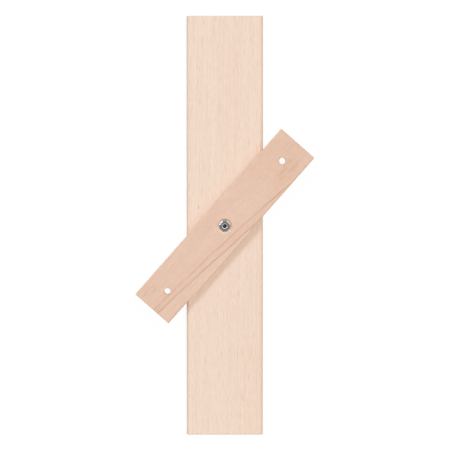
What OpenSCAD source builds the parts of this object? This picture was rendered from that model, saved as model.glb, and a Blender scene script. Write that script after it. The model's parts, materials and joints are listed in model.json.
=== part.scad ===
// Transfer board with a swivelling crossbar.
// A long plain board and a shorter bar turn on one countersunk screw at their middles.
// The screw comes up from the smooth sliding face into a pronged sheet-steel nut,
// which is sunk in a round recess in the bar. The assembly lies on its sliding face,
// crossbar up. The origin is on the pivot axis, in the sliding face. Millimetres.

/* [Long board] */
// Length of the long board
board_l = 760; // [500:5:1000]
// Width of the long board
board_w = 138.5; // [100:0.5:250]
// Thickness of the long board
board_t = 20; // [15:0.5:30]
// Rounding of the two long edges, on both faces
board_edge_r = 5; // [2:0.5:7]
// Easing of the edges at the two sawn ends
board_end_r = 1; // [0.5:0.1:2]
// Rounding of the four corners, seen from above
board_corner_r = 2; // [1:0.5:10]

/* [Crossbar] */
// Length of the crossbar
bar_l = 398; // [250:1:600]
// Width of the crossbar
bar_w = 80; // [60:1:120]
// Thickness of the crossbar
bar_t = 20; // [16:0.5:30]
// Easing of the crossbar's long edges, on both faces
bar_edge_r = 0.8; // [0.5:0.1:4]
// Easing of the edges at the crossbar's two sawn ends
bar_end_r = 1; // [0.5:0.1:2]
// Rounding of the crossbar's corners, seen from above
bar_corner_r = 1.5; // [0.5:0.1:8]
// Angle from the board's width to the crossbar's length, as it lies
bar_angle = 48.6; // [0:0.1:180]

/* [Fixing holes] */
// Diameter of the hole near each end of the crossbar
fixing_d = 11.5; // [6:0.5:14]
// Distance from the crossbar's end to the hole's centre
fixing_inset = 42; // [20:1:60]

/* [Nut recess] */
// Depth of the round recess in the crossbar's outer face
recess_depth = 5; // [3:0.5:7]
// Chamfer around the mouth of the recess
recess_ease = 0.8; // [0.3:0.1:1.5]
// Room between the nut's round flange and the wall of the recess
recess_gap = 2.5; // [1:0.1:4]

/* [Pronged nut] */
// Diameter of the nut's round flange
flange_d = 21; // [20:0.5:28]
// Thickness of the sheet steel
sheet_t = 1.5; // [1:0.1:2]
// Distance from the axis to the line where a prong bends down
prong_bend_at = 8.2; // [7:0.1:9]
// Width of a prong at its root
prong_w = 9.4; // [5:0.1:10]
// Width of a prong's blunt tip
prong_tip_w = 1; // [0.4:0.1:2]
// Relief slit beside each prong root
prong_slit = 0.5; // [0.3:0.1:1]
// Inner radius of a prong's bend
prong_bend_r = 0.5; // [0.2:0.1:1]
// Depth that a prong bites below the floor of the recess
prong_bite = 7; // [4:0.5:9]
// Wall of the threaded barrel
barrel_wall = 1.4; // [1:0.1:2]
// Wood below the end of the barrel, over which the bore runs on
barrel_short = 3; // [1:0.5:6]
// Rounding of the barrel's mouth
mouth_r = 1.4; // [0.5:0.1:1.9]

/* [Pivot screw] */
// Nominal diameter of the screw
screw_d = 8; // [6:0.5:10]
// Pitch of its thread
screw_pitch = 1.25; // [0.8:0.05:1.5]
// Diameter of the countersunk head
head_d = 16; // [14:0.5:20]
// Upright rim of the head, below the cone
head_rim = 0.4; // [0.2:0.1:0.8]
// Depth of the head below the sliding face
head_sink = 0.5; // [0.2:0.1:1.5]
// Depth of the screw's end below the nut's flange, for a screw of a stock length
screw_short = 7; // [3:0.5:9]
// Chamfer at the end of the thread
screw_end_ease = 0.8; // [0.3:0.1:1.2]
// Width across the flats of the hex key recess
key_af = 5; // [3:0.5:6]
// Depth of the hex key recess
key_depth = 3; // [1.5:0.1:4]

/* [Spacer washer] */
// Outside diameter of the washer between the two boards
washer_d = 30; // [20:1:60]
// Thickness of the washer
washer_t = 0.5; // [0.3:0.1:3]

/* [Clearances] */
// Radial room for the screw to turn in the long board
turn_clear = 0.1; // [0.05:0.01:0.3]
// Room between the head's cone and its seat, measured upward
seat_clear = 0.15; // [0.05:0.01:0.3]
// Radial room for the screw in the washer
washer_clear = 0.2; // [0.1:0.05:0.5]
// Radial room for the barrel in its bore
barrel_clear = 0.05; // [0.02:0.01:0.2]
// Room around each prong in the wood
prong_clear = 0.05; // [0.02:0.01:0.2]
// Radial room between the two threads
thread_clear = 0.03; // [0.01:0.01:0.1]

/* [Hidden] */
$fn = 64;
// Overshoot of every cutting shape past the face that it cuts
over = 1;
// Largest corner rounding, as a share of a section's shorter side
round_limit = 0.45;
prong_count = 4;
hex_sides = 6;
beech = [0.87, 0.72, 0.60];
beech_bar = [0.81, 0.60, 0.45];
zinc = [0.50, 0.50, 0.51];
black_steel = [0.10, 0.10, 0.11];
fibre = [0.52, 0.24, 0.17];

// Heights of the faces that the pieces share
bar_z = board_t + washer_t;
bar_top_z = bar_z + bar_t;
floor_z = bar_top_z - recess_depth;
flange_top_z = floor_z + sheet_t;
barrel_end_z = bar_z + barrel_short;
screw_end_z = flange_top_z - screw_short;

// Both threads are plain cylinders at the pitch radius, this share of a pitch inside the nominal one
pitch_line_share = 0.325;
thread_r = screw_d / 2 - pitch_line_share * screw_pitch;
nut_bore_r = thread_r + thread_clear;
barrel_r = nut_bore_r + barrel_wall;
barrel_bore_r = barrel_r + barrel_clear;
shank_r = screw_d / 2;
shank_bore_r = shank_r + turn_clear;
head_r = head_d / 2;
// The cone rises at 45 degrees from the head's rim to the shank
cone_z = head_sink + head_rim;
neck_z = cone_z + head_r - shank_r;
recess_r = flange_d / 2 + recess_gap;
fixing_at = bar_l / 2 - fixing_inset;

// Rectangle with four round corners, centred; the rounding stays within the shorter side
module round_rect(w, h, r) {
    rr = min(r, round_limit * min(w, h));
    square([w - 2 * rr, h], center = true);
    square([w, h - 2 * rr], center = true);
    for (x = [-1, 1], y = [-1, 1]) {
        translate([x * (w / 2 - rr), y * (h / 2 - rr)])
            circle(rr);
    }
}

// Plank of length l along Y, standing on Z = 0, with its long edges, ends and corners rounded
module plank(l, w, t, edge_r, end_r, corner_r) {
    translate([0, 0, t / 2])
        intersection() {
            rotate([90, 0, 0])
                linear_extrude(l + 2 * over, center = true)
                    round_rect(w, t, edge_r);
            rotate([90, 0, 90])
                linear_extrude(w + 2 * over, center = true)
                    round_rect(l, t, end_r);
            linear_extrude(t + 2 * over, center = true)
                round_rect(w, l, corner_r);
        }
}

// Turns what lies along Y to the way that the crossbar lies
module along_bar() {
    rotate([0, 0, bar_angle - 90])
        children();
}

// One prong of the nut: a strip that bends down over the flange's edge and ends in a point.
// It is made along +X, and room widens it to cut its own slot
module prong(room) {
    bend_out = prong_bend_r + sheet_t;
    bend_z = flange_top_z - bend_out;
    tip_z = floor_z - prong_bite;
    intersection() {
        rotate([90, 0, 0])
            linear_extrude(prong_w + 2 * room, center = true) {
                translate([prong_bend_at, bend_z])
                    intersection() {
                        difference() {
                            circle(bend_out + room);
                            circle(prong_bend_r - room / 2);
                        }
                        square(bend_out + room);
                    }
                translate([prong_bend_at + prong_bend_r - room, tip_z - room])
                    square([sheet_t + 2 * room, bend_z - tip_z + room]);
            }
        rotate([90, 0, 90])
            linear_extrude(flange_d)
                polygon([
                    [-prong_w / 2 - room, flange_top_z + room],
                    [-prong_w / 2 - room, floor_z],
                    [-prong_tip_w / 2 - room, tip_z - room],
                    [prong_tip_w / 2 + room, tip_z - room],
                    [prong_w / 2 + room, floor_z],
                    [prong_w / 2 + room, flange_top_z + room]
                ]);
    }
}

// The four prongs, in line with the crossbar and across it
module prongs(room) {
    for (i = [0 : prong_count - 1]) {
        rotate([0, 0, i * 360 / prong_count])
            prong(room);
    }
}

// Long board, drilled and countersunk from its sliding face for the pivot screw
module long_board() {
    seat_r = head_r + head_sink + head_rim + seat_clear;
    color(beech)
        difference() {
            plank(board_l, board_w, board_t, board_edge_r, board_end_r, board_corner_r);
            translate([0, 0, -over])
                cylinder(h = board_t + 2 * over, r = shank_bore_r);
            translate([0, 0, -over])
                cylinder(h = seat_r + over, r1 = seat_r + over, r2 = 0);
        }
}

// Crossbar, with a fixing hole near each end and the stepped hole for the nut at its middle
module crossbar() {
    color(beech_bar)
        along_bar()
            difference() {
                translate([0, 0, bar_z])
                    plank(bar_l, bar_w, bar_t, bar_edge_r, bar_end_r, bar_corner_r);
                for (y = [-fixing_at, fixing_at]) {
                    translate([0, y, bar_z - over])
                        cylinder(h = bar_t + 2 * over, d = fixing_d);
                }
                translate([0, 0, bar_z - over])
                    cylinder(h = bar_t + 2 * over, r = barrel_bore_r);
                translate([0, 0, floor_z])
                    cylinder(h = recess_depth + over, r = recess_r);
                translate([0, 0, bar_top_z - recess_ease])
                    cylinder(h = recess_ease + over, r1 = recess_r, r2 = recess_r + recess_ease + over);
                prongs(prong_clear);
            }
}

// Pronged nut pressed from one sheet: notched flange, four prongs and a threaded barrel
module tee_nut() {
    notch_w = prong_w + 2 * prong_slit;
    color(zinc)
        along_bar() {
            difference() {
                union() {
                    translate([0, 0, floor_z])
                        linear_extrude(sheet_t)
                            difference() {
                                circle(d = flange_d);
                                for (i = [0 : prong_count - 1]) {
                                    rotate([0, 0, i * 360 / prong_count])
                                        translate([prong_bend_at, -notch_w / 2])
                                            square([flange_d, notch_w]);
                                }
                            }
                    translate([0, 0, barrel_end_z])
                        cylinder(h = floor_z - barrel_end_z + sheet_t / 2, r = barrel_r);
                    prongs(0);
                }
                translate([0, 0, barrel_end_z - over])
                    cylinder(h = flange_top_z - barrel_end_z + 2 * over, r = nut_bore_r);
                translate([0, 0, flange_top_z - mouth_r])
                    rotate_extrude()
                        difference() {
                            square([nut_bore_r + mouth_r, mouth_r + over]);
                            translate([nut_bore_r + mouth_r, 0])
                                circle(mouth_r);
                        }
            }
        }
}

// Countersunk pivot screw: hex key recess, cone head, plain shank and threaded end
module pivot_screw() {
    color(black_steel)
        along_bar()
            difference() {
                rotate_extrude()
                    polygon([
                        [0, head_sink],
                        [head_r, head_sink],
                        [head_r, cone_z],
                        [shank_r, neck_z],
                        [shank_r, bar_z],
                        [thread_r, bar_z + shank_r - thread_r],
                        [thread_r, screw_end_z - screw_end_ease],
                        [thread_r - screw_end_ease, screw_end_z],
                        [0, screw_end_z]
                    ]);
                translate([0, 0, head_sink - over])
                    cylinder(h = key_depth + over, d = key_af / cos(180 / hex_sides), $fn = hex_sides);
            }
}

// Thin washer that keeps the two wooden faces apart
module spacer_washer() {
    color(fibre)
        translate([0, 0, board_t])
            difference() {
                cylinder(h = washer_t, d = washer_d);
                translate([0, 0, -over])
                    cylinder(h = washer_t + 2 * over, r = shank_r + washer_clear);
            }
}

long_board();
crossbar();
tee_nut();
pivot_screw();
spacer_washer();
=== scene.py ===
import json
import math

import bpy
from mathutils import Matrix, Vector


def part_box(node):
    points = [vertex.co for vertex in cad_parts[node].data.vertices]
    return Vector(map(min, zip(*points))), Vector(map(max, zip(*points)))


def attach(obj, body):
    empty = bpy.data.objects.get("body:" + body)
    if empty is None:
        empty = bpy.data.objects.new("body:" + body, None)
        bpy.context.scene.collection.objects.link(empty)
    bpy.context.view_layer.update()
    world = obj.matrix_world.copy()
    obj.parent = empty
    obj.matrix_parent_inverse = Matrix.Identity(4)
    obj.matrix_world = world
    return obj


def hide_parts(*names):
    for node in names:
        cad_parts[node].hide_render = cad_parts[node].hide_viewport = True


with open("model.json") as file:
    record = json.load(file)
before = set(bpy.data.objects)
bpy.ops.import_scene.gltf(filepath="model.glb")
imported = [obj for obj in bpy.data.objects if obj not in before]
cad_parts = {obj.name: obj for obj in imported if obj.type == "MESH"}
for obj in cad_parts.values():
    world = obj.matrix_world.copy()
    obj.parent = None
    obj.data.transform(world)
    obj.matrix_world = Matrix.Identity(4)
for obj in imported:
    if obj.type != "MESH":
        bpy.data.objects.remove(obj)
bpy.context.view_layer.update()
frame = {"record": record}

# Long board: one plain plank of pale beech, planed, sanded and lacquered satin.
# Both long edges are rounded over on both faces, the sawn ends are only eased with sandpaper,
# and the middle is drilled and countersunk from the sliding face for the pivot screw.
MM = 0.001
board_low, board_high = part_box("long_board")
BOARD_LENGTH = board_high.y - board_low.y
BOARD_WIDTH = board_high.x - board_low.x
BOARD_TOP = board_high.z
LONG_EDGE_R = 5 * MM
SAWN_END_R = 1 * MM
BOARD_CORNER_R = 2 * MM
EDGE_STEPS = 6
SHANK_HOLE_R = 4.1 * MM
HEAD_SEAT_R = 9.05 * MM
HEAD_SEAT_SIDES = 64
OVERSHOOT = 1 * MM
SMOOTH_UNDER = math.radians(35)
FLAT_FACE_WEIGHT = 100


def start_fresh():
    """Leaves nothing selected, so that the next operator acts on the new piece alone."""
    if bpy.context.mode != "OBJECT":
        bpy.ops.object.mode_set(mode="OBJECT")
    bpy.ops.object.select_all(action="DESELECT")


def work_on(piece):
    """Makes one finished mesh the only selected and active object."""
    start_fresh()
    piece.select_set(True)
    bpy.context.view_layer.objects.active = piece


def finish_modifier(piece, kind, **settings):
    """Adds one modifier to a piece with these settings and applies it."""
    work_on(piece)
    modifier = piece.modifiers.new(kind.lower(), kind)
    for name, value in settings.items():
        setattr(modifier, name, value)
    bpy.ops.object.modifier_apply(modifier=modifier.name)


def cut(piece, tool):
    """Cuts a tool's shape out of a piece and throws the tool away."""
    finish_modifier(piece, "BOOLEAN", object=tool, operation="DIFFERENCE", solver="EXACT")
    bpy.data.objects.remove(tool)


def settle(piece):
    """Moves a piece's place, turn and size into its mesh, so that it sits at the origin."""
    work_on(piece)
    bpy.ops.object.transform_apply(location=True, rotation=True, scale=True)


def turned(name, sides, steps):
    """Turned solid about the Z axis: a disc drawn up through (radius, height) steps."""
    start_fresh()
    first_r, first_z = steps[0]
    bpy.ops.mesh.primitive_circle_add(
        vertices=sides, radius=first_r, fill_type="NGON", location=(0, 0, first_z)
    )
    piece = bpy.context.object
    piece.name = name
    settle(piece)
    bpy.ops.object.mode_set(mode="EDIT")
    bpy.ops.mesh.select_all(action="SELECT")
    for (r, z), (next_r, next_z) in zip(steps, steps[1:]):
        bpy.ops.mesh.extrude_region_move(TRANSFORM_OT_translate={"value": (0, 0, next_z - z)})
        bpy.ops.transform.resize(
            value=(next_r / r, next_r / r, 1), center_override=(0, 0, next_z)
        )
    bpy.ops.mesh.select_all(action="SELECT")
    bpy.ops.mesh.normals_make_consistent(inside=False)
    bpy.ops.object.mode_set(mode="OBJECT")
    return piece


def plank(name, length, width, low, high, turn, edge_r, end_r, corner_r):
    """Plank along Y, turned about Z, with its long edges, sawn ends and upright corners rounded."""
    start_fresh()
    bpy.ops.mesh.primitive_cube_add(size=1, location=(0, 0, (low + high) / 2))
    piece = bpy.context.object
    piece.name = name
    piece.scale = (width, length, high - low)
    settle(piece)
    mesh = piece.data
    weights = mesh.attributes.new("bevel_weight_edge", "FLOAT", "EDGE")
    largest = max(edge_r, end_r, corner_r)
    for edge in mesh.edges:
        a, b = (mesh.vertices[i].co for i in edge.vertices)
        run = [abs(b[i] - a[i]) for i in range(3)]
        radius = (end_r, edge_r, corner_r)[run.index(max(run))]
        weights.data[edge.index].value = radius / largest
    finish_modifier(
        piece, "BEVEL", limit_method="WEIGHT", width=largest, segments=EDGE_STEPS
    )
    piece.rotation_euler.z = turn
    settle(piece)
    return piece


def soften(piece):
    """Shades a finished piece: flat faces stay flat, and rounded edges run smooth."""
    work_on(piece)
    bpy.ops.object.shade_smooth_by_angle(angle=SMOOTH_UNDER)
    finish_modifier(piece, "WEIGHTED_NORMAL", mode="FACE_AREA", weight=FLAT_FACE_WEIGHT, keep_sharp=True)


board = plank(
    "beech_long_board", BOARD_LENGTH, BOARD_WIDTH, board_low.z, BOARD_TOP, 0.0,
    LONG_EDGE_R, SAWN_END_R, BOARD_CORNER_R,
)
seat_neck_z = HEAD_SEAT_R - SHANK_HOLE_R
cut(board, turned("countersink_bit", HEAD_SEAT_SIDES, [
    (HEAD_SEAT_R + OVERSHOOT, -OVERSHOOT),
    (SHANK_HOLE_R, seat_neck_z),
    (SHANK_HOLE_R, BOARD_TOP + OVERSHOOT),
]))
soften(board)


def tone(red, green, blue):
    """Colour given as screen values out of 255, as the linear colour that a shader takes."""
    return tuple(
        (c / 255 / 12.92 if c <= 10 else ((c / 255 + 0.055) / 1.055) ** 2.4)
        for c in (red, green, blue)
    ) + (1.0,)


class Shade:
    """One socket of a material's nodes, for use in sums; with no socket it only adds nodes."""

    def __init__(self, tree, socket=None):
        self.tree = tree
        self.socket = socket

    def node(self, kind, settings, inputs, out=0):
        """Adds a node: its settings come first, then the values or links of its inputs."""
        made = self.tree.nodes.new(kind)
        for name, value in settings.items():
            setattr(made, name, value)
        for name, value in inputs.items():
            if isinstance(value, Shade):
                self.tree.links.new(value.socket, made.inputs[name])
            else:
                made.inputs[name].default_value = value
        return Shade(self.tree, made.outputs[out])

    def maths(self, operation, first, second=0.0):
        """Adds one Math node."""
        return self.node("ShaderNodeMath", {"operation": operation}, {0: first, 1: second})

    def __add__(self, other):
        return self.maths("ADD", self, other)

    def __radd__(self, other):
        return self.maths("ADD", other, self)

    def __sub__(self, other):
        return self.maths("SUBTRACT", self, other)

    def __rsub__(self, other):
        return self.maths("SUBTRACT", other, self)

    def __mul__(self, other):
        return self.maths("MULTIPLY", self, other)

    def __rmul__(self, other):
        return self.maths("MULTIPLY", other, self)

    def __truediv__(self, other):
        return self.maths("DIVIDE", self, other)

    def __rtruediv__(self, other):
        return self.maths("DIVIDE", other, self)

    def __pow__(self, other):
        return self.maths("POWER", self, other)

    def __rpow__(self, other):
        return self.maths("POWER", other, self)

    def __abs__(self):
        return self.maths("ABSOLUTE", self)

    def most(self, other):
        """The larger of this value and the other."""
        return self.maths("MAXIMUM", self, other)

    def least(self, other):
        """The smaller of this value and the other."""
        return self.maths("MINIMUM", self, other)

    def fraction(self):
        """What this value has beyond its whole number, so that it starts again at each one."""
        return self.maths("FRACT", self)

    def ramp(self, low, high, start=0.0, end=1.0):
        """Runs smoothly from start to end as the value goes from low to high."""
        return self.node(
            "ShaderNodeMapRange",
            {"interpolation_type": "SMOOTHSTEP"},
            {"Value": self, "From Min": low, "From Max": high, "To Min": start, "To Max": end},
        )

    def between(self, first, second):
        """Colour this share of the way from the first to the second."""
        return self.node(
            "ShaderNodeMix", {"data_type": "RGBA"}, {0: self, 6: first, 7: second}, out=2
        )

    def stretched(self, across, along, through):
        """This place, measured in cells of these sizes."""
        return self.node(
            "ShaderNodeMapping", {}, {"Vector": self, "Scale": (1 / across, 1 / along, 1 / through)}
        )

    def noise(self, detail=2.0):
        """Soft noise from 0 to 1 with one cell to a unit of this place."""
        return self.node(
            "ShaderNodeTexNoise", {},
            {"Vector": self, "Scale": 1.0, "Detail": detail, "Roughness": 0.5},
        )


def finish_of(name):
    """New material, its place on the piece in metres, and its main shader."""
    material = bpy.data.materials.new(name)
    material.use_nodes = True
    tree = material.node_tree
    place = Shade(tree).node("ShaderNodeTexCoord", {}, {}, out="Object")
    return material, place, tree.nodes["Principled BSDF"]


def in_line(place, turn):
    """Place in millimetres, turned so that the grain runs along Y, and its three parts."""
    grain = place.node(
        "ShaderNodeMapping", {}, {"Vector": place, "Rotation": (0, 0, turn), "Scale": (1 / MM,) * 3}
    )
    parts = [grain.node("ShaderNodeSeparateXYZ", {}, {0: grain}, out=i) for i in range(3)]
    return (grain, *parts)


def streaks(grain, width, length, detail=2.0):
    """Soft streaks of about this width and length along the grain, from -0.5 to 0.5."""
    return grain.stretched(width, length, width).noise(detail) - 0.5


def ray_flecks(grain, width, length, fill=0.30):
    """Short dark lens-shaped flecks along the grain, from 0 to 1, in cells of this size."""
    cells = grain.stretched(width, length, width)
    nearest = cells.node("ShaderNodeTexVoronoi", {}, {"Vector": cells, "Scale": 1.0})
    strength = cells.node("ShaderNodeTexVoronoi", {}, {"Vector": cells, "Scale": 1.0}, out=1)
    return nearest.ramp(0.0, fill, 1.0, 0.0) * strength


def end_grain(run, length, late):
    """Share of end-grain colour on the sawn ends of a plank of this length, most in late wood."""
    end = length / MM / 2
    return abs(run).ramp(end - 1.2, end - 0.3) * (0.55 + late * 0.45)


def feed(shader, socket, value):
    """Links a value to one socket of a shader."""
    value.tree.links.new(value.socket, shader.inputs[socket])


def feed_relief(shader, height, strength, depth):
    """Gives the shading a fine relief of this height, strength and depth."""
    feed(shader, "Normal", height.node(
        "ShaderNodeBump", {}, {"Strength": strength, "Distance": depth, "Height": height}
    ))


BOARD_PALE = tone(241, 219, 201)
BOARD_TAN = tone(226, 192, 168)
BOARD_FLECK = tone(196, 152, 122)
BOARD_EDGE_SHADE = tone(222, 184, 162)
BOARD_END = tone(205, 168, 140)
# Widths and lengths of the marks in the wood, in millimetres
BOARD_BROAD = (45, 260)
BOARD_WAVE = (90, 420)
BOARD_LONG_FIBRE = (1.5, 150)
BOARD_FIBRE = (1.5, 11)
FINE_FIBRE = (0.5, 12)
BOARD_FLECK_SIZE = (2.5, 38)
SMALL_FLECK_SIZE = (1.5, 11)
PORE_SIZE = (0.55, 3.5)
# The growth rings lie round the pith, far off to one side and above the board
BOARD_PITH_SIDE = -267
BOARD_PITH_UP = 70
BOARD_PITH_WANDERS = 14
BOARD_RING_WIDTH = 3.6
BOARD_RING_CRISPNESS = 5
# One short dark mark shows on the face beside the crossbar
MARK_SIDE = -48
MARK_RUN = 33.5
MARK_HALF_WIDTH = 1.3
MARK_HALF_LENGTH = 4.5
GRAIN_BUMP = 0.25
GRAIN_DEPTH = 0.05 * MM
LACQUER_GLOSS = 0.35

wood, place, shader = finish_of("pale_beech")
grain, side, run, up = in_line(place, 0.0)
broad = streaks(grain, *BOARD_BROAD)
long_fibre = streaks(grain, *BOARD_LONG_FIBRE)
fibre = streaks(grain, *BOARD_FIBRE)
fine_fibre = streaks(grain, *FINE_FIBRE)
flecks = ray_flecks(grain, *BOARD_FLECK_SIZE)
small_flecks = ray_flecks(grain, *SMALL_FLECK_SIZE, fill=0.28)
pores = ray_flecks(grain, *PORE_SIZE)
wander = streaks(grain, *BOARD_WAVE) * BOARD_PITH_WANDERS
from_pith = ((side - BOARD_PITH_SIDE + wander) ** 2 + (up - BOARD_PITH_UP) ** 2) ** 0.5
late = (from_pith / BOARD_RING_WIDTH).fraction() ** BOARD_RING_CRISPNESS
shade = 0.16 + long_fibre * 0.85 + fibre * 0.85 + fine_fibre * 0.35 + broad * 0.35 + late * 0.18
base = shade.between(BOARD_PALE, BOARD_TAN)
base = (flecks * 0.6 + small_flecks * 0.3 + pores * 0.5).between(base, BOARD_FLECK)
half = BOARD_WIDTH / MM / 2
# Painted shade: the long rims are darker, more so on the right, where the rounded edges turn from the
# light
painted_edge_shade = side.ramp(-half, 6 - half, 0.3, 0.0) + side.ramp(half - 8, half, 0.0, 0.48)
base = painted_edge_shade.between(base, BOARD_EDGE_SHADE)
from_mark = ((side - MARK_SIDE) / MARK_HALF_WIDTH) ** 2 + ((run - MARK_RUN) / MARK_HALF_LENGTH) ** 2
ragged = from_mark + fibre * 1.6 + fine_fibre * 1.6
base = ragged.ramp(1.1, 0.1, 0.0, 0.55).between(base, BOARD_FLECK)
base = end_grain(run, BOARD_LENGTH, late).between(base, BOARD_END)
feed(shader, "Base Color", base)
feed(shader, "Roughness", 0.50 + broad * 0.12 + flecks * 0.08)
feed_relief(shader, 0 - flecks * 0.6 - fine_fibre * 0.4 - pores * 0.5, GRAIN_BUMP, GRAIN_DEPTH)
shader.inputs["Specular IOR Level"].default_value = LACQUER_GLOSS
board.data.materials.append(wood)
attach(board, "board")
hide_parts("long_board")

# Crossbar: a shorter plank of warmer, flat-sawn beech, eased all round and lacquered satin.
# A hole near each end takes a bolt, and a flat-bottomed recess at the middle, cut with a bit and
# chamfered at its mouth, lets the nut lie below the face.
upper_hole = next(m for m in frame["record"]["mounts"] if m["name"] == "fixing_hole_upper")
hole_x, hole_y = upper_hole["pos_m"][:2]
BAR_TURN = math.atan2(hole_y, hole_x) - math.pi / 2
HOLE_R = upper_hole["dims"]["r_mm"] * MM
HOLE_SIDES = 48
bar_low, bar_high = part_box("crossbar")
BAR_LENGTH = 398 * MM
BAR_WIDTH = 80 * MM
BAR_EDGE_R = 0.8 * MM
BAR_CORNER_R = 1.5 * MM
RIM_EASE = 0.4 * MM
RECESS_R = 13 * MM
RECESS_DEPTH = 5 * MM
RECESS_EASE = 0.8 * MM
RECESS_SIDES = 96
BARREL_HOLE_R = 5.074 * MM
BARREL_SIDES = 64
RECESS_FLOOR = bar_high.z - RECESS_DEPTH

bar = plank(
    "beech_crossbar", BAR_LENGTH, BAR_WIDTH, bar_low.z, bar_high.z, BAR_TURN,
    BAR_EDGE_R, SAWN_END_R, BAR_CORNER_R,
)
for way in (-1, 1):
    drill = turned("hole_bit", HOLE_SIDES, [
        (HOLE_R + RIM_EASE + OVERSHOOT, bar_low.z - OVERSHOOT),
        (HOLE_R, bar_low.z + RIM_EASE),
        (HOLE_R, bar_high.z - RIM_EASE),
        (HOLE_R + RIM_EASE + OVERSHOOT, bar_high.z + OVERSHOOT),
    ])
    drill.location = (way * hole_x, way * hole_y, 0)
    cut(bar, drill)
cut(bar, turned("recess_bit", RECESS_SIDES, [
    (RECESS_R, RECESS_FLOOR),
    (RECESS_R, bar_high.z - RECESS_EASE),
    (RECESS_R + RECESS_EASE + OVERSHOOT, bar_high.z + OVERSHOOT),
]))
cut(bar, turned("barrel_bit", BARREL_SIDES, [
    (BARREL_HOLE_R, bar_low.z - OVERSHOOT),
    (BARREL_HOLE_R, bar_high.z),
]))
soften(bar)

BAR_PALE = tone(231, 198, 177)
BAR_TAN = tone(217, 178, 152)
BAR_LINE = tone(190, 142, 108)
BAR_EDGE = tone(218, 174, 138)
BAR_RAW_AND_HIGHLIGHT = tone(246, 222, 198)
BAR_END = tone(196, 152, 120)
# Widths and lengths of the marks in the wood, in millimetres
BAR_BROAD = (28, 120)
BAR_WAVE = (60, 55)
BAR_LONG_FIBRE = (2.2, 80)
BAR_FIBRE = (1.9, 10)
BAR_MOTTLE = (5, 18)
BAR_FLECK_SIZE = (2.4, 11)
CLOUD_STREAK = (5, 17)
LINE_BREAK = (20, 34)
# Two growth lines cross the face near one edge: they lean to the grain, bend a little, and lie
# closer together towards the lower end
LINE_LEAN = 0.108
LINE_BEND = 0.00011
LINE_WANDERS = 2.6
BAR_PITH_SIDE = -10
BAR_PITH_BELOW = 40
BAR_RING_WIDTH = 4.1
BAR_RING_CRISPNESS = 4
FIRST_LINE_AT = 21.6
SECOND_LINE_AT = 33.7
SECOND_LINE_CLOSES = 2.03
LINE_WIDTH = 1.4
# Two streaky clouds darken the face near its ends: side, run, half width and half length
CLOUDS = ((17, 152, 17, 34), (-24, -176, 11, 20))

wood, place, shader = finish_of("warm_beech")
grain, side, run, up = in_line(place, -BAR_TURN)
broad = streaks(grain, *BAR_BROAD)
long_fibre = streaks(grain, *BAR_LONG_FIBRE)
fibre = streaks(grain, *BAR_FIBRE, detail=3)
fine_fibre = streaks(grain, *FINE_FIBRE)
mottle = streaks(grain, *BAR_MOTTLE)
cloud = streaks(grain, *CLOUD_STREAK, detail=3)
flecks = ray_flecks(grain, *BAR_FLECK_SIZE)
pores = ray_flecks(grain, *PORE_SIZE)
top = bar_high.z / MM
wander = streaks(grain, *BAR_WAVE) * LINE_WANDERS
across = side - run * LINE_LEAN - run * run * LINE_BEND + wander - BAR_PITH_SIDE
above = up - (top - BAR_PITH_BELOW)
from_pith = (across * across + above * above) ** 0.5
far_side = across.ramp(0, 6)
first = from_pith - math.hypot(FIRST_LINE_AT - BAR_PITH_SIDE, BAR_PITH_BELOW)
second = from_pith - math.hypot(SECOND_LINE_AT - BAR_PITH_SIDE, BAR_PITH_BELOW)
second = second + run.ramp(-190, -10, SECOND_LINE_CLOSES, 0.0)
beyond = first.ramp(-3, 4) * second.ramp(2, -1) * far_side
first = abs(first).ramp(0.0, LINE_WIDTH, 1.0, 0.0) * run.ramp(-150, 80, 0.65, 1.1)
second = abs(second).ramp(0.0, LINE_WIDTH, 1.25, 0.0)
uneven = streaks(grain, *LINE_BREAK).ramp(-0.2, 0.2, 0.6, 1.1)
lines = (first + second) * uneven * far_side
late = (from_pith / BAR_RING_WIDTH).fraction() ** BAR_RING_CRISPNESS
shade = 0.30 + fibre * 1.15 + fine_fibre * 0.3 + mottle * 0.45 + long_fibre * 0.55 + broad * 0.7
shade = shade + beyond * 0.12 + run.ramp(30, 190) * 0.16
for cloud_side, cloud_run, half_width, half_length in CLOUDS:
    from_middle = ((side - cloud_side) / half_width) ** 2 + ((run - cloud_run) / half_length) ** 2
    shade = shade + from_middle.ramp(1.0, 0.1) * cloud.ramp(-0.14, 0.22) * 0.8
base = shade.between(BAR_PALE, BAR_TAN)
base = (lines * 0.55 + flecks * 0.16 + pores * 0.55).between(base, BAR_LINE)
# The sawn sides are browner. One top rim has painted shade towards its ends and a painted highlight
# along a stretch between, and the other top rim has a painted highlight all along
half = BAR_WIDTH / MM / 2
low_on_side = up.ramp(top - 0.3, top - 0.9)
sawn = abs(side).ramp(half - 1.2, half - 0.2) * low_on_side * 0.65
# Painted shade on one top rim, strongest towards the ends
rim_shade_towards_ends = run.ramp(28, 55, 0.0, 0.42) + run.ramp(-135, -155, 0.0, 0.68)
painted_light_share = side.ramp(half - 4.6, half - 1.4) * rim_shade_towards_ends
sawn_tone = (fibre.ramp(-0.15, 0.25) * 0.35 + pores * 0.5).between(BAR_EDGE, BAR_LINE)
base = sawn.most(painted_light_share).between(base, sawn_tone)
# Painted highlight: paler all along the rim opposite the shaded one, and along a stretch of the shaded
# rim over the board
painted_rim_highlight = side.ramp(0.2 - half, 1.8 - half, 0.55, 0.0)
pale_stretch = run.ramp(-140, -120) * run.ramp(25, 10)
painted_rim_highlight = painted_rim_highlight + side.ramp(half - 2.2, half - 0.4, 0.0, 0.6) * pale_stretch
base = (painted_rim_highlight * (1 - low_on_side)).between(base, BAR_RAW_AND_HIGHLIGHT)
base = end_grain(run, BAR_LENGTH, late).between(base, BAR_END)
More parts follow.
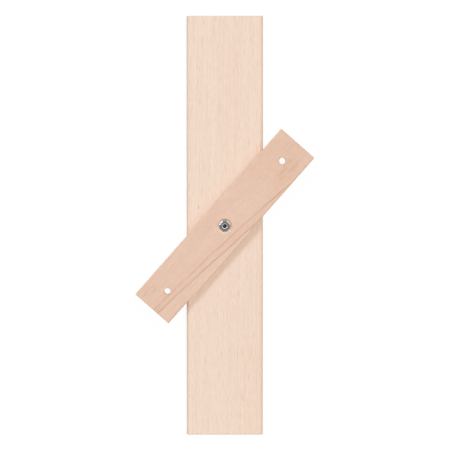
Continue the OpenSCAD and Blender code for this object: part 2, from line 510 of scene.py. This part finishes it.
# The bit has left paler, bare wood in the recess, and the half of its wall that the lamps light is
# painted paler still, as painted light
recess = RECESS_R / MM
from_pivot = (side * side + run * run) ** 0.5
in_recess = from_pivot.ramp(recess + 1.2, recess + 0.6) * up.ramp(top, top - 0.3)
# Painted light on the lit half of the recess wall
painted_wall_light = from_pivot.ramp(recess - 0.4, recess) * (side - run).ramp(-8, 8)
base = (in_recess * (0.5 + painted_wall_light * 0.45)).between(base, BAR_RAW_AND_HIGHLIGHT)
feed(shader, "Base Color", base)
feed(shader, "Roughness", 0.48 + broad * 0.12 + flecks * 0.06)
relief = 0 - flecks * 0.5 - fine_fibre * 0.4 - lines * 0.3 - pores * 0.5
feed_relief(shader, relief, GRAIN_BUMP, GRAIN_DEPTH)
shader.inputs["Specular IOR Level"].default_value = LACQUER_GLOSS
bar.data.materials.append(wood)
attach(bar, "swivel")
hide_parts("crossbar")

# Pronged nut: pressed from one piece of sheet steel and zinc plated dull grey.
# Its flange lies on the floor of the recess, four prongs are bent down from notches in the flange
# and bite into the wood, and the drawn barrel carries the thread.
nut_low, nut_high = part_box("tee_nut")
FLANGE_R = 10.5 * MM
FLANGE_SIDES = 96
FLANGE_ROLL = 0.6 * MM
ROLL_STEPS = 4
SHEET = 1.5 * MM
BEND_AT = 8.2 * MM
BEND_IN_R = 0.5 * MM
BEND_STEPS = 10
PRONG_W = 9.4 * MM
PRONG_TIP_W = 1 * MM
PRONG_SLIT = 0.5 * MM
PRONG_BITE = 7 * MM
PRONG_COUNT = 4
BARREL_R = 5.024 * MM
THREAD_SIDES = 48
THREAD_PITCH = 1.25 * MM
THREAD_RINGS = 8
THREAD_BELOW_MOUTH = 0.3 * MM
NUT_MINOR_R = 3.4 * MM
NUT_MAJOR_R = 4.0 * MM
MOUTH_FROM_R = 3.624 * MM
MOUTH_R = 1.4 * MM
MOUTH_STEPS = 8
CLOSE = 0.05 * MM
FACES_OUT = 0.99
ONE_PLACE = 0.001 * MM
FLANGE_TOP = nut_high.z
BARREL_END = nut_low.z


def join(piece, other):
    """Welds another solid to a piece."""
    finish_modifier(piece, "BOOLEAN", object=other, operation="UNION", solver="EXACT")
    bpy.data.objects.remove(other)


def merge_corners(piece):
    """Makes corners that lie in one place one corner, and turns all faces outwards."""
    work_on(piece)
    bpy.ops.object.mode_set(mode="EDIT")
    bpy.ops.mesh.select_all(action="SELECT")
    bpy.ops.mesh.remove_doubles(threshold=ONE_PLACE)
    bpy.ops.mesh.normals_make_consistent(inside=False)
    bpy.ops.object.mode_set(mode="OBJECT")


def pick(piece, wanted):
    """Opens a piece for editing with only the faces selected whose centre and normal are wanted."""
    work_on(piece)
    bpy.ops.object.mode_set(mode="EDIT")
    bpy.ops.mesh.select_mode(type="FACE")
    bpy.ops.mesh.select_all(action="DESELECT")
    bpy.ops.object.mode_set(mode="OBJECT")
    for face in piece.data.polygons:
        face.select = wanted(face.center, face.normal)
    bpy.ops.object.mode_set(mode="EDIT")


def bend_prong(piece, turn):
    """Draws one prong out of the bottom of its notch, round the bend and down to a blunt point."""
    out = Vector((math.cos(turn), math.sin(turn), 0))
    aside = Vector((-math.sin(turn), math.cos(turn), 0))

    def notch_bottom(centre, normal):
        level = abs(centre.dot(out) - BEND_AT) < CLOSE
        in_middle = abs(centre.dot(aside)) < PRONG_TIP_W
        return normal.dot(out) > FACES_OUT and level and in_middle

    for way in (-1, 1):
        pick(piece, notch_bottom)
        bpy.ops.mesh.bisect(plane_co=aside * (way * PRONG_W / 2), plane_no=aside)
    pick(piece, notch_bottom)
    bend_z = FLANGE_TOP - SHEET - BEND_IN_R
    bend_at = out * BEND_AT
    bpy.ops.mesh.spin(
        steps=BEND_STEPS, angle=-math.pi / 2, center=(bend_at.x, bend_at.y, bend_z), axis=aside
    )
    shoulder_z = RECESS_FLOOR - SHEET
    tip_z = RECESS_FLOOR - PRONG_BITE
    for drop in (shoulder_z - bend_z, tip_z - shoulder_z):
        bpy.ops.mesh.extrude_region_move(TRANSFORM_OT_translate={"value": (0, 0, drop)})
    tip = out * (BEND_AT + BEND_IN_R + SHEET / 2)
    narrow = PRONG_TIP_W / PRONG_W
    bpy.ops.transform.resize(
        value=(
            1 if abs(out.x) > 0.5 else narrow,
            1 if abs(out.y) > 0.5 else narrow,
            1,
        ),
        center_override=(tip.x, tip.y, tip_z),
    )
    bpy.ops.object.mode_set(mode="OBJECT")


def threaded(piece, minor_r, major_r, low, high):
    """Moves the rings of a turned piece between two heights in and out along a screw thread."""
    for vertex in piece.data.vertices:
        x, y, z = vertex.co
        if low <= z <= high:
            turn = (z / THREAD_PITCH - math.atan2(y, x) / math.tau) % 1
            flank = abs(2 * turn - 1)
            reach = (minor_r + (major_r - minor_r) * flank) / math.hypot(x, y)
            vertex.co = (x * reach, y * reach, z)


def thread_steps(r, low, high):
    """Even rings up a thread, a few to each turn."""
    count = math.ceil((high - low) / THREAD_PITCH * THREAD_RINGS)
    return [(r, low + (high - low) * i / count) for i in range(count + 1)]


flange = [(FLANGE_R, RECESS_FLOOR)]
for i in range(ROLL_STEPS + 1):
    swing = i / ROLL_STEPS * math.pi / 2
    flange.append((
        FLANGE_R - FLANGE_ROLL * (1 - math.cos(swing)),
        FLANGE_TOP - FLANGE_ROLL * (1 - math.sin(swing)),
    ))
nut = turned("pronged_nut", FLANGE_SIDES, flange)
prong_turns = [i * math.tau / PRONG_COUNT for i in range(PRONG_COUNT)]
for turn in prong_turns:
    reach = BEND_AT + FLANGE_R
    start_fresh()
    bpy.ops.mesh.primitive_cube_add(
        size=1,
        location=(reach * math.cos(turn), reach * math.sin(turn), FLANGE_TOP),
        rotation=(0, 0, turn),
    )
    notch = bpy.context.object
    notch.scale = (2 * FLANGE_R, PRONG_W + 2 * PRONG_SLIT, 4 * SHEET)
    cut(nut, notch)
for turn in prong_turns:
    bend_prong(nut, turn)
merge_corners(nut)
join(nut, turned("barrel", BARREL_SIDES, [
    (BARREL_R, BARREL_END),
    (BARREL_R, FLANGE_TOP - SHEET / 2),
]))
mouth_low = FLANGE_TOP - MOUTH_R
thread_low = BARREL_END - OVERSHOOT / 2
thread_high = mouth_low - THREAD_BELOW_MOUTH
tap = [(NUT_MINOR_R, BARREL_END - OVERSHOOT)]
tap += thread_steps(NUT_MINOR_R, thread_low, thread_high)
for i in range(MOUTH_STEPS + 1):
    swing = i / MOUTH_STEPS * math.pi / 2
    tap.append((
        MOUTH_FROM_R + MOUTH_R * (1 - math.cos(swing)),
        mouth_low + MOUTH_R * math.sin(swing),
    ))
tap.append((MOUTH_FROM_R + MOUTH_R, FLANGE_TOP + OVERSHOOT))
tap_tool = turned("tap", THREAD_SIDES, tap)
threaded(tap_tool, NUT_MINOR_R, NUT_MAJOR_R, thread_low, thread_high)
cut(nut, tap_tool)
merge_corners(nut)
nut.rotation_euler.z = BAR_TURN
settle(nut)
soften(nut)


def blotches(grain, size, detail=2.0):
    """Soft round blotches of about this size, from 0 to 1."""
    return grain.stretched(size, size, size).noise(detail)


# The dull dark grey is partly the plating's own and partly painted, standing in for the darker
# surroundings that the flat flange would reflect
ZINC_DULL = tone(104, 102, 102)
ZINC_DARK = tone(84, 82, 82)
ZINC_BRIGHT = tone(226, 225, 222)
ZINC_MOTTLE = 2.2
ZINC_RUB = 0.25
METAL_BUMP = 0.15
METAL_DEPTH = 0.02 * MM

metal, place, shader = finish_of("dull_zinc")
grain, side, run, up = in_line(place, -BAR_TURN)
mottle = blotches(grain, ZINC_MOTTLE, detail=3)
rub = blotches(grain, ZINC_RUB)
# The rounded mouth, the rolled rim and the outside of each bend are paler and smoother: partly burnished
# by the die, partly painted highlight and reflection, most on the bends that face the lamps
mouth_edge = (MOUTH_FROM_R + MOUTH_R) / MM
flange_edge = FLANGE_R / MM
bend = BEND_AT / MM
prong_edge = PRONG_W / MM / 2
from_axis = (side * side + run * run) ** 0.5
mouth = from_axis.ramp(mouth_edge - 0.07, mouth_edge - 0.52) * 0.8
rim = from_axis.ramp(flange_edge - 1.5, flange_edge - 0.3) * 0.45
longer = abs(side).most(abs(run))
shorter = abs(side).least(abs(run))
# Painted highlight share: the bends that face the lamps get the most
painted_light_share = 0.3 + side.ramp(-4, -8) * 0.55 + run.ramp(4, 8) * 0.15
bends = longer.ramp(bend - 0.3, bend + 0.6) * shorter.ramp(prong_edge + 0.3, prong_edge) * painted_light_share
burnish_and_highlight = mouth.most(rim.most(bends)) * (0.75 + rub * 0.4)
base = burnish_and_highlight.between(mottle.between(ZINC_DULL, ZINC_DARK), ZINC_BRIGHT)
feed(shader, "Base Color", base)
feed(shader, "Roughness", 0.40 + mottle * 0.12 + (rub - 0.5) * 0.06 - burnish_and_highlight * 0.16)
feed_relief(shader, rub, METAL_BUMP, METAL_DEPTH)
shader.inputs["Metallic"].default_value = 1.0
nut.data.materials.append(metal)
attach(nut, "swivel")
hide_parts("tee_nut")

# Pivot screw: a machined steel countersunk screw with a hex key recess, finished in black oxide.
# It is driven from the sliding face, where its head lies just below the wood; its plain shank turns
# in the long board, and its threaded end stops part way up the nut's barrel.
screw_low, screw_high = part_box("pivot_screw")
HEAD_R = 8 * MM
HEAD_RIM = 0.4 * MM
HEAD_EASE = 0.15 * MM
SHANK_R = 4 * MM
SHANK_RUN_OUT = 1 * MM
SCREW_MINOR_R = 3.2 * MM
SCREW_MAJOR_R = 3.85 * MM
SCREW_END_EASE = 0.8 * MM
KEY_SIDES = 6
KEY_FLATS = 5 * MM
KEY_DEPTH = 3 * MM
KEY_FLARE = 1.12
KEY_FLARE_FROM = 0.3 * MM
KEY_FLARE_DEPTH = 0.25 * MM
KEY_POINT = 0.2
KEY_POINT_DEPTH = 0.8 * MM

head_z = screw_low.z
neck_z = head_z + HEAD_RIM + HEAD_R - SHANK_R
thread_low = bar_low.z + SHANK_RUN_OUT
thread_high = screw_high.z - SCREW_END_EASE
steps = [
    (HEAD_R - HEAD_EASE, head_z),
    (HEAD_R, head_z + HEAD_EASE),
    (HEAD_R, head_z + HEAD_RIM),
    (SHANK_R, neck_z),
    (SHANK_R, bar_low.z),
]
steps += thread_steps(SCREW_MINOR_R, thread_low, thread_high)
steps.append((SCREW_MINOR_R - SCREW_END_EASE / 2, screw_high.z))
screw = turned("pivot_screw_turned", THREAD_SIDES, steps)
threaded(screw, SCREW_MINOR_R, SCREW_MAJOR_R, thread_low, thread_high - THREAD_PITCH / 2)
key_r = KEY_FLATS / 2 / math.cos(math.pi / KEY_SIDES)
cut(screw, turned("hex_broach", KEY_SIDES, [
    (key_r * KEY_FLARE, head_z - KEY_FLARE_FROM),
    (key_r, head_z + KEY_FLARE_DEPTH),
    (key_r, head_z + KEY_DEPTH),
    (key_r * KEY_POINT, head_z + KEY_DEPTH + KEY_POINT_DEPTH),
]))
screw.rotation_euler.z = BAR_TURN
settle(screw)
bpy.ops.object.shade_smooth_by_angle(angle=SMOOTH_UNDER)

OXIDE_BLACK = tone(62, 56, 46)
OXIDE_WORN = tone(98, 88, 72)
OXIDE_MOTTLE = 1.6
TURNING_MARK = (0.3, 0.3, 0.12)

metal, place, shader = finish_of("black_oxide")
grain = place.stretched(MM, MM, MM)
mottle = blotches(grain, OXIDE_MOTTLE, detail=3)
turning = grain.stretched(*TURNING_MARK).noise()
worn = mottle.ramp(0.4, 0.8) * 0.35
feed(shader, "Base Color", worn.between(OXIDE_BLACK, OXIDE_WORN))
feed(shader, "Roughness", 0.42 + mottle * 0.12 + (turning - 0.5) * 0.08)
feed_relief(shader, turning, METAL_BUMP, METAL_DEPTH)
shader.inputs["Metallic"].default_value = 1.0
screw.data.materials.append(metal)
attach(screw, "swivel")
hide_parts("pivot_screw")

# Spacer washer: a thin ring punched from red-brown fibre sheet.
# It lies loose on the screw between the two wooden faces and keeps them from rubbing.
washer_low, washer_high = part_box("spacer_washer")
WASHER_R = (washer_high.x - washer_low.x) / 2
WASHER_SIDES = 96
WASHER_HOLE_R = 4.2 * MM
WASHER_EASE = 0.12 * MM

washer = turned("fibre_washer", WASHER_SIDES, [
    (WASHER_R - WASHER_EASE, washer_low.z),
    (WASHER_R, washer_low.z + WASHER_EASE),
    (WASHER_R, washer_high.z - WASHER_EASE),
    (WASHER_R - WASHER_EASE, washer_high.z),
])
cut(washer, turned("punch", HOLE_SIDES, [
    (WASHER_HOLE_R, washer_low.z - OVERSHOOT),
    (WASHER_HOLE_R, washer_high.z + OVERSHOOT),
]))
soften(washer)

FIBRE_RED = tone(150, 82, 62)
FIBRE_DARK = tone(118, 60, 46)
FIBRE_MOTTLE = 3
FIBRE_FUZZ = 0.2
FIBRE_BUMP = 0.2
FIBRE_DEPTH = 0.03 * MM

fibre_sheet, place, shader = finish_of("red_fibre")
grain = place.stretched(MM, MM, MM)
mottle = blotches(grain, FIBRE_MOTTLE, detail=3)
fuzz = blotches(grain, FIBRE_FUZZ)
feed(shader, "Base Color", mottle.between(FIBRE_RED, FIBRE_DARK))
feed(shader, "Roughness", 0.62 + (fuzz - 0.5) * 0.2)
feed_relief(shader, fuzz, FIBRE_BUMP, FIBRE_DEPTH)
washer.data.materials.append(fibre_sheet)
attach(washer, "board")
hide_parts("spacer_washer")

# Floor: a plain white sheet that the board lies on, so wide that no edge of it shows.
# The camera and gloss see it glow an even white, on which a pale shadow of the board stays.
FLOOR_SIZE = 14.0
FLOOR_DROP = 0.2 * MM
FLOOR_WHITE = 0.90
FLOOR_GLOW = 0.96
FLOOR_SHADOW = 0.045


def seen_white(tree):
    """1 for the rays by which the camera, gloss and glass see a white ground, and 0 for light."""
    camera_ray, glossy_ray, transmission_ray = (
        Shade(tree).node("ShaderNodeLightPath", {}, {}, out=kind)
        for kind in ("Is Camera Ray", "Is Glossy Ray", "Is Transmission Ray")
    )
    return camera_ray.most(glossy_ray).most(transmission_ray)


def grey(level):
    """Grey colour of this level."""
    return (level, level, level, 1)


start_fresh()
bpy.ops.mesh.primitive_plane_add(size=FLOOR_SIZE, location=(0, 0, board_low.z - FLOOR_DROP))
floor = bpy.context.object
floor.name = "floor"
sheet = bpy.data.materials.new("white_sheet")
sheet.use_nodes = True
tree = sheet.node_tree
tree.nodes.remove(tree.nodes["Principled BSDF"])
seen = seen_white(tree)
plain = seen.node("ShaderNodeBsdfDiffuse", {}, {"Color": grey(FLOOR_WHITE)})
faint = seen.node("ShaderNodeBsdfDiffuse", {}, {"Color": grey(FLOOR_SHADOW)})
glow = seen.node("ShaderNodeEmission", {}, {"Color": grey(1), "Strength": FLOOR_GLOW})
white = seen.node("ShaderNodeAddShader", {}, {0: faint, 1: glow})
mixed = seen.node("ShaderNodeMixShader", {}, {0: seen, 1: plain, 2: white})
feed(tree.nodes["Material Output"], "Surface", mixed)
floor.data.materials.append(sheet)

# Light: a faintly warm surround and three far soft lamps, slightly cool ones from the upper left and
# high on the lower right, and a white one from the upper right. Their shares make up one white whole,
# so a colour renders about as it is written; the camera and gloss see a plain white surround.
LEFT_SHARE = 0.23
LEFT_TINT = (0.85, 1.0, 1.18)
LEFT_LEAN = math.radians(34.5)
LEFT_BEARING = math.radians(136)
LEFT_SOFTNESS = math.radians(18)
RIGHT_SHARE = 0.27
RIGHT_TINT = (1.0, 1.0, 1.0)
RIGHT_LEAN = math.radians(32)
RIGHT_BEARING = math.radians(48)
RIGHT_SOFTNESS = math.radians(5)
FRONT_SHARE = 0.12
FRONT_TINT = (0.85, 1.0, 1.18)
FRONT_LEAN = math.radians(14)
FRONT_BEARING = math.radians(-41)
FRONT_SOFTNESS = math.radians(48)

world = bpy.data.worlds.new("pale_surround")
bpy.context.scene.world = world
world.use_nodes = True
tree = world.node_tree
surround = tuple(
    1 - LEFT_SHARE * LEFT_TINT[i] - RIGHT_SHARE * RIGHT_TINT[i] - FRONT_SHARE * FRONT_TINT[i]
    for i in range(3)
)
feed(tree.nodes["Background"], "Color", seen_white(tree).between(surround + (1,), grey(1)))


def lamp(name, share, tint, lean, bearing, softness):
    """Far soft lamp that gives a level surface this share of its light."""
    start_fresh()
    bpy.ops.object.light_add(type="SUN", rotation=(0, lean, bearing))
    piece = bpy.context.object
    piece.name = name
    piece.data.color = tint
    piece.data.energy = share * math.pi / math.cos(lean)
    piece.data.angle = softness


lamp("left_lamp", LEFT_SHARE, LEFT_TINT, LEFT_LEAN, LEFT_BEARING, LEFT_SOFTNESS)
lamp("right_lamp", RIGHT_SHARE, RIGHT_TINT, RIGHT_LEAN, RIGHT_BEARING, RIGHT_SOFTNESS)
lamp("front_lamp", FRONT_SHARE, FRONT_TINT, FRONT_LEAN, FRONT_BEARING, FRONT_SOFTNESS)

# Camera: straight above the board, with the board's upper end to the top and a touch nearer.
# Its lens is chosen so that one pixel of the picture covers PIXEL_SPAN of the board's face.
FRAME_PIXELS = 450
PIXEL_SPAN = 1.8143 * MM
CAMERA_FAR = 3.5
CAMERA_LEAN = math.radians(1.58)
CAMERA_REACH = 50.0
AIM_X = 0.4 * MM
AIM_Y = 1.5 * MM
SENSOR = 36.0

start_fresh()
bpy.ops.object.camera_add(
    location=(
        AIM_X,
        AIM_Y + CAMERA_FAR * math.sin(CAMERA_LEAN),
        BOARD_TOP + CAMERA_FAR * math.cos(CAMERA_LEAN),
    ),
    rotation=(-CAMERA_LEAN, 0, 0),
)
camera = bpy.context.object
camera.data.sensor_width = SENSOR
camera.data.lens = SENSOR * CAMERA_FAR / (FRAME_PIXELS * PIXEL_SPAN)
camera.data.clip_end = CAMERA_REACH
bpy.context.scene.camera = camera
bpy.context.scene.view_settings.view_transform = "Standard"
